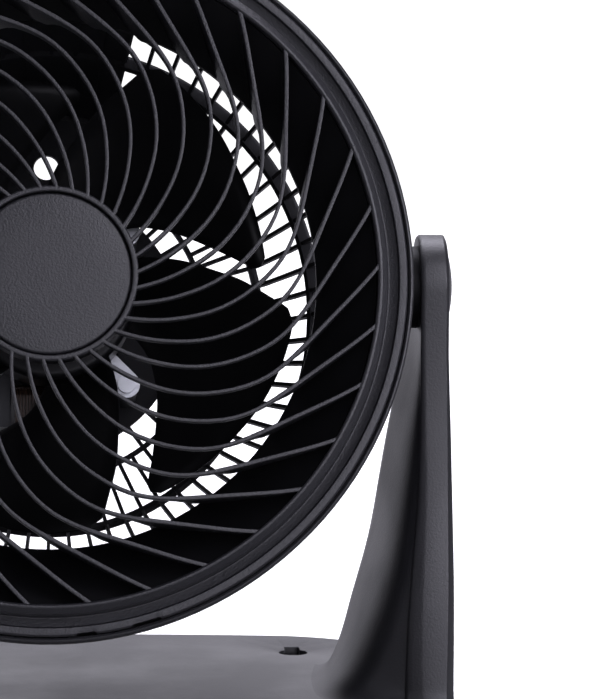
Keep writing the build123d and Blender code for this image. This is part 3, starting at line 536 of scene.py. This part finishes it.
digits = [
    (180.0, turned(0, 0, 1.15, 1.95, 0, 345, 23), True),
    (135.0, [(-0.75, 1.25), (0.15, 1.95), (0.15, -2.2)], False),
    (90.0, turned(0, 0.95, 1.15, 1.1, 160, -20, 12) + [(0.85, -0.1), (-1.1, -1.95), (1.3, -1.95)],
     False),
    (45.0, turned(0, 0.98, 1.05, 0.98, 150, -80, 12) + turned(0, -0.98, 1.2, 0.98, 80, -150, 12),
     False),
]
marks = []
for deg, line, closed in digits:
    cx = 21.4 * math.cos(math.radians(deg))
    cy = 21.4 * math.sin(math.radians(deg))
    marks.append(ribbon([(cx - u, cy + v) for u, v in line], 0.32, -108.5, -109.0, closed))
add_mesh("speed_numbers", *join(marks), "head", SLOTS["switch_cover"], 40.0)
add_mesh("knob_pointer", *ribbon([(-13.0, 0.0), (-11.0, 0.0), (-8.6, 0.0)], 0.45, -121.2, -121.75),
         "knob", SLOTS["speed_knob"], 40.0)

# ---------------------------------------------------------------------- stand
BASE_Z, FOOT_R = 12.0, 5.5
arm_front = spline([(4, -42.0), (12, -41.0), (19, -40.0), (37.5, -37.2), (59, -32.3), (80, -26.0),
                    (95, -22.5), (110, -20.2), (122, -19.1), (134, -18.4), (150, -18.0)])
arm_back = spline([(4, 29.5), (12, 28.7), (19, 28.1), (37.5, 26.2), (59, 24.0), (80, 21.9),
                   (95, 20.6), (110, 19.6), (122, 18.8), (134, 18.2), (150, 18.0)])
arm_xf = spline([(4, 119.0), (12, 119.1), (19, 119.3), (37.5, 120.0), (59, 121.8), (80, 123.9),
                 (95, 124.8), (110, 125.1), (122, 125.2), (134, 125.2), (150, 125.2)])
arm_xb = spline([(4, 96.4), (12, 97.5), (19, 100.3), (37.5, 105.6), (59, 111.1), (80, 114.6),
                 (95, 116.9), (110, 119.6), (122, 122.4), (134, 125.2), (150, 125.2)])


arm_xo = straight([(4, 136.0), (12, 136.0), (50, 136.2), (80, 136.05), (100, 135.7), (115, 135.2),
                   (128, 134.8), (170, 134.8)])
arm_or = straight([(4, 3.6), (12, 3.5), (50, 2.7), (80, 2.1), (100, 1.6), (118, 1.2), (170, 1.2)])
toe = spline([(0, 0.0), (0.04, 8.5), (0.09, 14.0), (0.16, 17.2), (0.25, 18.2), (0.5, 14.4),
              (0.75, 8.0), (1, 0.0)])
lean = spline([(0, 1.0), (12, 1.0), (20, 0.68), (30, 0.45), (45, 0.27), (60, 0.18), (80, 0.12),
               (100, 0.07), (120, 0.02), (134, 0.0), (170, 0.0)])
slope = straight([(0, 5.7), (12, 5.7), (50, 4.2), (80, 3.0), (100, 2.0), (120, 1.5), (134, 1.3),
                  (170, 1.3)])


def arm(side_sign):
    """One arm: an outer face, softened edges and an inner face that swells towards the base."""
    levels = [9.0, 11.0, 12.0, 12.12, 12.45, 13.0, 13.8, 14.8, 16.0, 17.5, 19.2, 21.0]
    levels += [21.0 + 3.0 * i for i in range(1, 43)] + [150.0]
    outline = []
    for z in levels:
        flare = 0.0
        if z < BASE_Z + FOOT_R:
            d = BASE_Z + FOOT_R - max(z, BASE_Z)
            flare = FOOT_R - math.sqrt(max(0.0, FOOT_R**2 - d * d))
        if z < 10.0:
            flare = 0.0
        outline.append((arm_front(z) - flare, arm_back(z) + flare, z, flare, 0.0))
    for i in range(1, 19):
        a = math.radians(5 * i)
        outline.append((-18 * math.cos(a), 18 * math.cos(a), 150 + 18 * math.sin(a), 0.0, a))
    columns = 20
    verts, rows = [], []
    for yf, yb, z, flare, a in outline:
        x_out, out_r = arm_xo(z), arm_or(z)
        low = max(0.0, min(1.0, (130.0 - z) / 110.0))
        in_r, out_y, rear_r = slope(z), 1.3 + (out_r - 1.2) * 2.6, 1.3
        back_r = 1.3 + 0.9 * low
        if flare > 0.05 or z <= BASE_Z:
            back_r = max(0.6, back_r * (1 - flare / FOOT_R))
        xf, xb = arm_xf(min(z, 150)), arm_xb(min(z, 150))
        rise = min(1.0, max(0.0, 1 - (z - BASE_Z) / 3.5))
        root = 3.5 * (1 - math.sqrt(max(0.0, 1 - rise * rise)))
        out = max(0.0, lean(z)) if z > BASE_Z else 1.0
        if z > 134:
            xf = xb = 125.2
        c, s = math.cos(a), math.sin(a)

        def place(y_edge, inset, x):
            # y_edge is front or back; the inset runs towards the tilt axis at the top
            sgn = 1.0 if y_edge < 0 or (a > 0 and y_edge == yf) else -1.0
            if a > 0:
                return (x, y_edge + sgn * inset * c, z - inset * s)
            return (x, y_edge + sgn * inset, z)

        row = []
        # front wall: outer edge round, wall, inner edge round
        for share, drop in ((1.0, 0.0), (0.86, 0.05), (0.12, 0.82), (0.03, 0.93), (0.0, 1.1)):
            row.append(place(yf, out_y * share, x_out - out_r * drop))
        for share, x in ((0.0, xf + in_r + 0.5), (0.04, xf + in_r - 0.4), (0.2, xf + 0.45 * in_r),
                         (0.33, xf + 0.15 * in_r), (0.5, xf + 0.03 * in_r), (0.75, xf)):
            row.append(place(yf, in_r * share, x))
        # inner face, front to back
        y0, y1 = yf + 0.75 * in_r * (c if a else 1), yb - back_r * (c if a else 1)
        z0, z1 = z - 0.75 * in_r * s, z - back_r * s
        for k in range(1, columns):
            t = (k / columns) ** 1.4
            x = xf + (xb - xf) * t - out * toe(t) - root * min(1.0, 6 * t)
            row.append((x, y0 + (y1 - y0) * t, z0 + (z1 - z0) * t))
        for k in range(6):
            t = math.radians(90 * k / 5)
            row.append(place(yb, back_r * (1 - math.sin(t)),
                             xb - root + back_r * (1 - math.cos(t))))
        for k in range(5):
            t = math.radians(90 * k / 4)
            row.append(place(yb, rear_r * (1 - math.cos(t)), x_out - rear_r * (1 - math.sin(t))))
        # outer face, back to front
        y0, y1 = yb - rear_r * (c if a else 1), yf + out_y * (c if a else 1)
        z0, z1 = z - rear_r * s, z - out_y * s
        for k in range(1, columns):
            t = k / columns
            row.append((x_out, y0 + (y1 - y0) * t, z0 + (z1 - z0) * t))
        rows.append(len(verts))
        for x, y, h in row:
            verts.append(Vector((side_sign * x, PIVOT_Y + y, h)) * 0.001)
    n = len(row)
    faces = []
    for p, q in zip(rows, rows[1:]):
        for i in range(n):
            j = (i + 1) % n
            faces.append((p + i, p + j, q + j, q + i))
    faces.append(tuple(rows[0] + i for i in range(n)))
    # close the line at the very top
    last = rows[-1]
    front = [last + i for i in range(11)]
    inner = [last + 11 + i for i in range(columns - 1)]
    back = [last + 11 + columns - 1 + i for i in range(11)]
    outer = [last + 22 + columns - 1 + i for i in range(columns - 1)]
    for i in range(10):
        faces.append((front[i], front[i + 1], back[9 - i], back[10 - i]))
    faces.append(tuple([front[10]] + inner + [back[0]]))
    faces.append(tuple([back[10]] + outer + [front[0]]))
    return verts, faces

def plan(inset):
    """The base's outline seen from above, as points, at some distance inside it."""
    hw, hd, rc, rs, rb = 136.0, 76.0, 13.0, 60.0, 718.8
    bow_y = hd - rb
    side_x = hw - rs
    side_y = bow_y + math.sqrt((rb - rs) ** 2 - side_x**2)
    joint = math.atan2(side_y - bow_y, side_x)
    right = []
    for i in range(9):
        t = math.radians(-90 + 90 * i / 8)
        right.append((hw - rc + (rc - inset) * math.cos(t), -hd + rc + (rc - inset) * math.sin(t)))
    for i in range(1, 8):
        y0, y1 = -hd + rc, side_y
        right.append((hw - inset, y0 + (y1 - y0) * i / 8))
    for i in range(17):
        t = joint * i / 16
        right.append((side_x + (rs - inset) * math.cos(t), side_y + (rs - inset) * math.sin(t)))
    for i in range(1, 12):
        t = joint + (math.pi / 2 - joint) * i / 12
        right.append(((rb - inset) * math.cos(t), bow_y + (rb - inset) * math.sin(t)))
    return right + [(0, hd - inset)] + [(-x, y) for x, y in right[::-1]]


def keyhole(x0, grow):
    """A keyhole's outline: a round hole with a slot towards the back."""
    r, half = 5.0 + grow, 2.65 + grow
    start = math.acos(half / r)
    pts = []
    for i in range(33):
        t = start - (2 * math.pi - (math.pi - 2 * start)) * i / 32
        pts.append((x0 + r * math.cos(t), 37.2 + r * math.sin(t)))
    end = 37.2 + 10.1 + grow
    pts += [(x0 - half, end - 0.8), (x0 - half + 0.25, end - 0.25), (x0 - half + 0.8, end),
            (x0 + half - 0.8, end), (x0 + half - 0.25, end - 0.25), (x0 + half, end - 0.8)]
    return pts


def base_shell():
    bm = bmesh.new()

    def ring(points, z):
        return [bm.verts.new((x * 0.001, y * 0.001, z * 0.001)) for x, y in points]

    def strip(a, b):
        for i in range(len(a)):
            j = (i + 1) % len(a)
            bm.faces.new((a[i], a[j], b[j], b[i]))

    def fill(loops):
        edges = []
        for loop in loops:
            for i in range(len(loop)):
                e = bm.edges.get((loop[i], loop[(i + 1) % len(loop)]))
                if e is None:
                    e = bm.edges.new((loop[i], loop[(i + 1) % len(loop)]))
                edges.append(e)
        bmesh.ops.triangle_fill(bm, use_beauty=True, use_dissolve=False, edges=edges)

    outer = [ring(plan(0.5), 1.6), ring(plan(0.0), 2.1), ring(plan(0.0), 9.0)]
    for i in range(1, 9):
        t = math.radians(90 * i / 8)
        outer.append(ring(plan(3 * (1 - math.cos(t))), 9 + 3 * math.sin(t)))
    outer.append(ring(plan(3.6), 12.0))
    for a, b in zip(outer, outer[1:]):
        strip(a, b)
    lip = ring(plan(2.8), 1.6)
    strip(outer[0], lip)
    roof = ring(plan(3.2), 9.2)
    strip(lip, roof)
    top_loops, low_loops = [outer[-1]], [roof]
    for x0 in (87.7, -87.7):
        rings = [ring(keyhole(x0, 0.5), 12.0), ring(keyhole(x0, 0.15), 11.85),
                 ring(keyhole(x0, 0.0), 11.5), ring(keyhole(x0, 0.0), 6.0)]
        for a, b in zip(rings, rings[1:]):
            strip(a, b)
        top_loops.append(rings[0])
        # collar under the plate
        foot = ring([(x0 + 8.5 * math.cos(t), 37.2 + 8.5 * math.sin(t))
                     for t in [math.radians(10 * i) for i in range(36)]], 6.0)
        hood = ring([(x0 + 8.5 * math.cos(t), 37.2 + 8.5 * math.sin(t))
                     for t in [math.radians(10 * i) for i in range(36)]], 9.2)
        slot_low = rings[-1]
        strip(foot, hood)
        low_loops.append(hood)
        inner = [v for v in slot_low]
        # the slot runs past the collar, so its mouth is closed by a flat plate
        plate = ring([(x0 + 9.4 * math.cos(t), 38.6 + 11.2 * math.sin(t))
                      for t in [math.radians(10 * i) for i in range(36)]], 6.0)
        skirt = ring([(x0 + 9.4 * math.cos(t), 38.6 + 11.2 * math.sin(t))
                      for t in [math.radians(10 * i) for i in range(36)]], 9.6)
        strip(plate, skirt)
        fill([plate, inner])
        bmesh.ops.delete(bm, geom=foot, context="VERTS")
    fill(top_loops)
    fill(low_loops)
    bmesh.ops.recalc_face_normals(bm, faces=bm.faces)
    verts = [v.co.copy() for v in bm.verts]
    bm.verts.index_update()
    faces = [tuple(v.index for v in f.verts) for f in bm.faces]
    bm.free()
    return verts, faces


def block(x0, x1, y0, y1, z0, z1):
    v = [Vector((x, y, z)) * 0.001 for z in (z0, z1) for y in (y0, y1) for x in (x0, x1)]
    return v, [(0, 2, 3, 1), (4, 5, 7, 6), (0, 1, 5, 4), (2, 6, 7, 3), (0, 4, 6, 2), (1, 3, 7, 5)]


def post(x, y, r, z0, z1, seg=40):
    ring = [(x + r * math.cos(2 * math.pi * i / seg), y + r * math.sin(2 * math.pi * i / seg))
            for i in range(seg)]
    v = [Vector((a, b, z0)) * 0.001 for a, b in ring] + [Vector((a, b, z1)) * 0.001 for a, b in ring]
    f = [(i, (i + 1) % seg, seg + (i + 1) % seg, seg + i) for i in range(seg)]
    return v, f + [tuple(range(seg - 1, -1, -1)), tuple(range(seg, 2 * seg))]


stand_parts = [base_shell(), arm(1), arm(-1)]
stand_parts += [block(-95, 95, -1, 1, 6, 9.8), block(-46, -44, -73, 71, 6, 9.8),
                block(44, 46, -73, 71, 6, 9.8)]
stand_parts += [post(x, y, 7.5, 6, 9.8) for x, y in ((-112, -61), (112, -61), (-64, 58), (64, 58))]
add_mesh("stand_shell", *join(stand_parts), "stand", "stand_plastic", 32.0, ["stand_frame"])

# -------------------------------------------------------------- floor, light
FLOOR_GLOW, WORLD_LIGHT = 0.55, 0.10


def floor_mesh():
    verts = [(-14, -14, 0), (14, -14, 0), (14, 14, 0), (-14, 14, 0)]
    faces = [(0, 1, 2, 3)]
    mesh = bpy.data.meshes.new("floor_mesh")
    mesh.from_pydata(verts, [], faces)
    mesh.shade_smooth()
    return mesh


def dome_mesh():
    verts, faces = [], []
    rings, seg = 16, 48
    for i in range(rings + 1):
        a = math.radians(-4 + 94 * i / rings)
        for k in range(seg):
            t = 2 * math.pi * k / seg
            verts.append((12 * math.cos(a) * math.cos(t), 12 * math.cos(a) * math.sin(t),
                          12 * math.sin(a)))
    for i in range(rings):
        for k in range(seg):
            p, q = i * seg + k, i * seg + (k + 1) % seg
            faces.append((p, p + seg, q + seg, q))
    mesh = bpy.data.meshes.new("backdrop_mesh")
    mesh.from_pydata(verts, [], faces)
    mesh.shade_smooth()
    return mesh


floor = bpy.data.objects.new("floor", floor_mesh())
bpy.context.scene.collection.objects.link(floor)
fm, fn, fl, fb, fc = new_material("floor_mat")
speckle = noise(fn, fl, fc, 60.0, 3.0)
tone = spread(fn, fl, speckle.outputs["Fac"], 0.84, 0.88)
fl.new(tone.outputs["Result"], fb.inputs["Base Color"])
fb.inputs["Roughness"].default_value = 0.9
fb.inputs["Specular IOR Level"].default_value = 0.0
fb.inputs["Emission Color"].default_value = (1, 1, 1, 1)
reach = fn.new("ShaderNodeVectorMath")
reach.operation = "LENGTH"
fl.new(fc.outputs["Object"], reach.inputs[0])
glow = spread(fn, fl, reach.outputs["Value"], FLOOR_GLOW, 1.0, 0.5, 1.3)
fl.new(glow.outputs["Result"], fb.inputs["Emission Strength"])
floor.data.materials.append(fm)
floor.visible_diffuse = True
floor.visible_glossy = False

backdrop = bpy.data.objects.new("backdrop", dome_mesh())
bpy.context.scene.collection.objects.link(backdrop)
bm_, bn, bl, bb, bc = new_material("backdrop_mat")
haze = noise(bn, bl, bc, 0.4, 2.0)
shade = spread(bn, bl, haze.outputs["Fac"], 0.0, 0.02)
bl.new(shade.outputs["Result"], bb.inputs["Base Color"])
bb.inputs["Specular IOR Level"].default_value = 0.0
bb.inputs["Emission Color"].default_value = (1, 1, 1, 1)
bb.inputs["Emission Strength"].default_value = 1.05
backdrop.data.materials.append(bm_)
for obj in (backdrop,):
    obj.visible_diffuse = False
    obj.visible_glossy = False
    obj.visible_shadow = False

world = bpy.data.worlds.new("world")
bpy.context.scene.world = world
world.use_nodes = True
wn, wl = world.node_tree.nodes, world.node_tree.links
wn["Background"].inputs["Color"].default_value = (0.98, 0.96, 1.08, 1)


def step(value, lo, hi, low, high):
    m = wn.new("ShaderNodeMapRange")
    m.interpolation_type = "SMOOTHSTEP"
    m.inputs["From Min"].default_value = lo
    m.inputs["From Max"].default_value = hi
    m.inputs["To Min"].default_value = low
    m.inputs["To Max"].default_value = high
    wl.new(value, m.inputs["Value"])
    return m.outputs["Result"]


def combine(kind, a, b):
    m = wn.new("ShaderNodeMath")
    m.operation = kind
    wl.new(a, m.inputs[0])
    wl.new(b, m.inputs[1])
    return m.outputs[0]


# a bright wall behind the object, a dim room elsewhere and little from below
where = wn.new("ShaderNodeTexCoord")
split = wn.new("ShaderNodeSeparateXYZ")
wl.new(where.outputs["Generated"], split.inputs[0])
room = step(split.outputs["Z"], -0.12, 0.02, 0.16, WORLD_LIGHT)
wall = combine("MULTIPLY", step(split.outputs["Y"], 0.50, 0.82, 0.0, 1.0),
               step(split.outputs["Z"], -0.42, -0.25, 0.0, 1.0))
wall = combine("MULTIPLY", wall, step(split.outputs["Z"], 0.45, 0.85, 1.0, 0.2))
wall = combine("MULTIPLY", wall, step(split.outputs["X"], 0.30, 0.60, 1.0, 0.0))
wall = combine("MULTIPLY", wall, step(split.outputs["X"], -0.58, -0.30, 0.0, 1.0))
wl.new(combine("ADD", room, wall), wn["Background"].inputs["Strength"])


def area(name, at, aim, size, watts, size_y=None, color=(0.98, 0.96, 1.10)):
    light = bpy.data.lights.new(name, "AREA")
    light.shape = "RECTANGLE" if size_y else "SQUARE"
    light.size = size
    if size_y:
        light.size_y = size_y
    light.energy = watts
    light.color = color
    obj = bpy.data.objects.new(name, light)
    bpy.context.scene.collection.objects.link(obj)
    obj.location = at
    d = Vector(aim) - Vector(at)
    obj.rotation_euler = d.to_track_quat("-Z", "Y").to_euler()
    return obj


area("key_top", (0.1, 0.8, 1.7), (0, 0, 0.1), 1.3, 30.0, 1.0)
area("front_top", (0.7, -1.1, 1.3), (0, 0, 0.12), 0.9, 10.0)
area("front_low", (0.7, -2.4, 0.7), (0, 0, 0.12), 2.0, 25.0)
area("side_right", (1.5, -0.9, 0.6), (0, 0, 0.15), 0.8, 16.0)
area("side_left", (-1.5, -0.5, 0.9), (0, 0, 0.15), 0.8, 2.5)

# -------------------------------------------------------------------- camera
cam_data = bpy.data.cameras.new("camera")
cam = bpy.data.objects.new("camera", cam_data)
bpy.context.scene.collection.objects.link(cam)
cam_data.sensor_width = 36.0
cam_data.lens = 184.128
cam_data.clip_start = 0.05
cam_data.clip_end = 50.0
cam_yaw, cam_pitch, cam_roll = math.radians(4.0076), math.radians(6.4846), math.radians(0.4329)
look = Vector((
    math.sin(cam_yaw) * math.cos(cam_pitch), math.cos(cam_yaw) * math.cos(cam_pitch),
    -math.sin(cam_pitch),
))
side = Vector((math.cos(cam_yaw), -math.sin(cam_yaw), 0))
top = side.cross(look)
side2 = side * math.cos(cam_roll) + top * math.sin(cam_roll)
top2 = top * math.cos(cam_roll) - side * math.sin(cam_roll)
rot = Matrix((side2, top2, -look)).transposed()
cam.matrix_world = Matrix.Translation(Vector((0.096, -1232.0, 266.798)) * 0.001) @ rot.to_4x4()
bpy.context.scene.camera = cam
bpy.context.scene.view_settings.view_transform = "Standard"
bpy.context.scene.view_settings.look = "None"
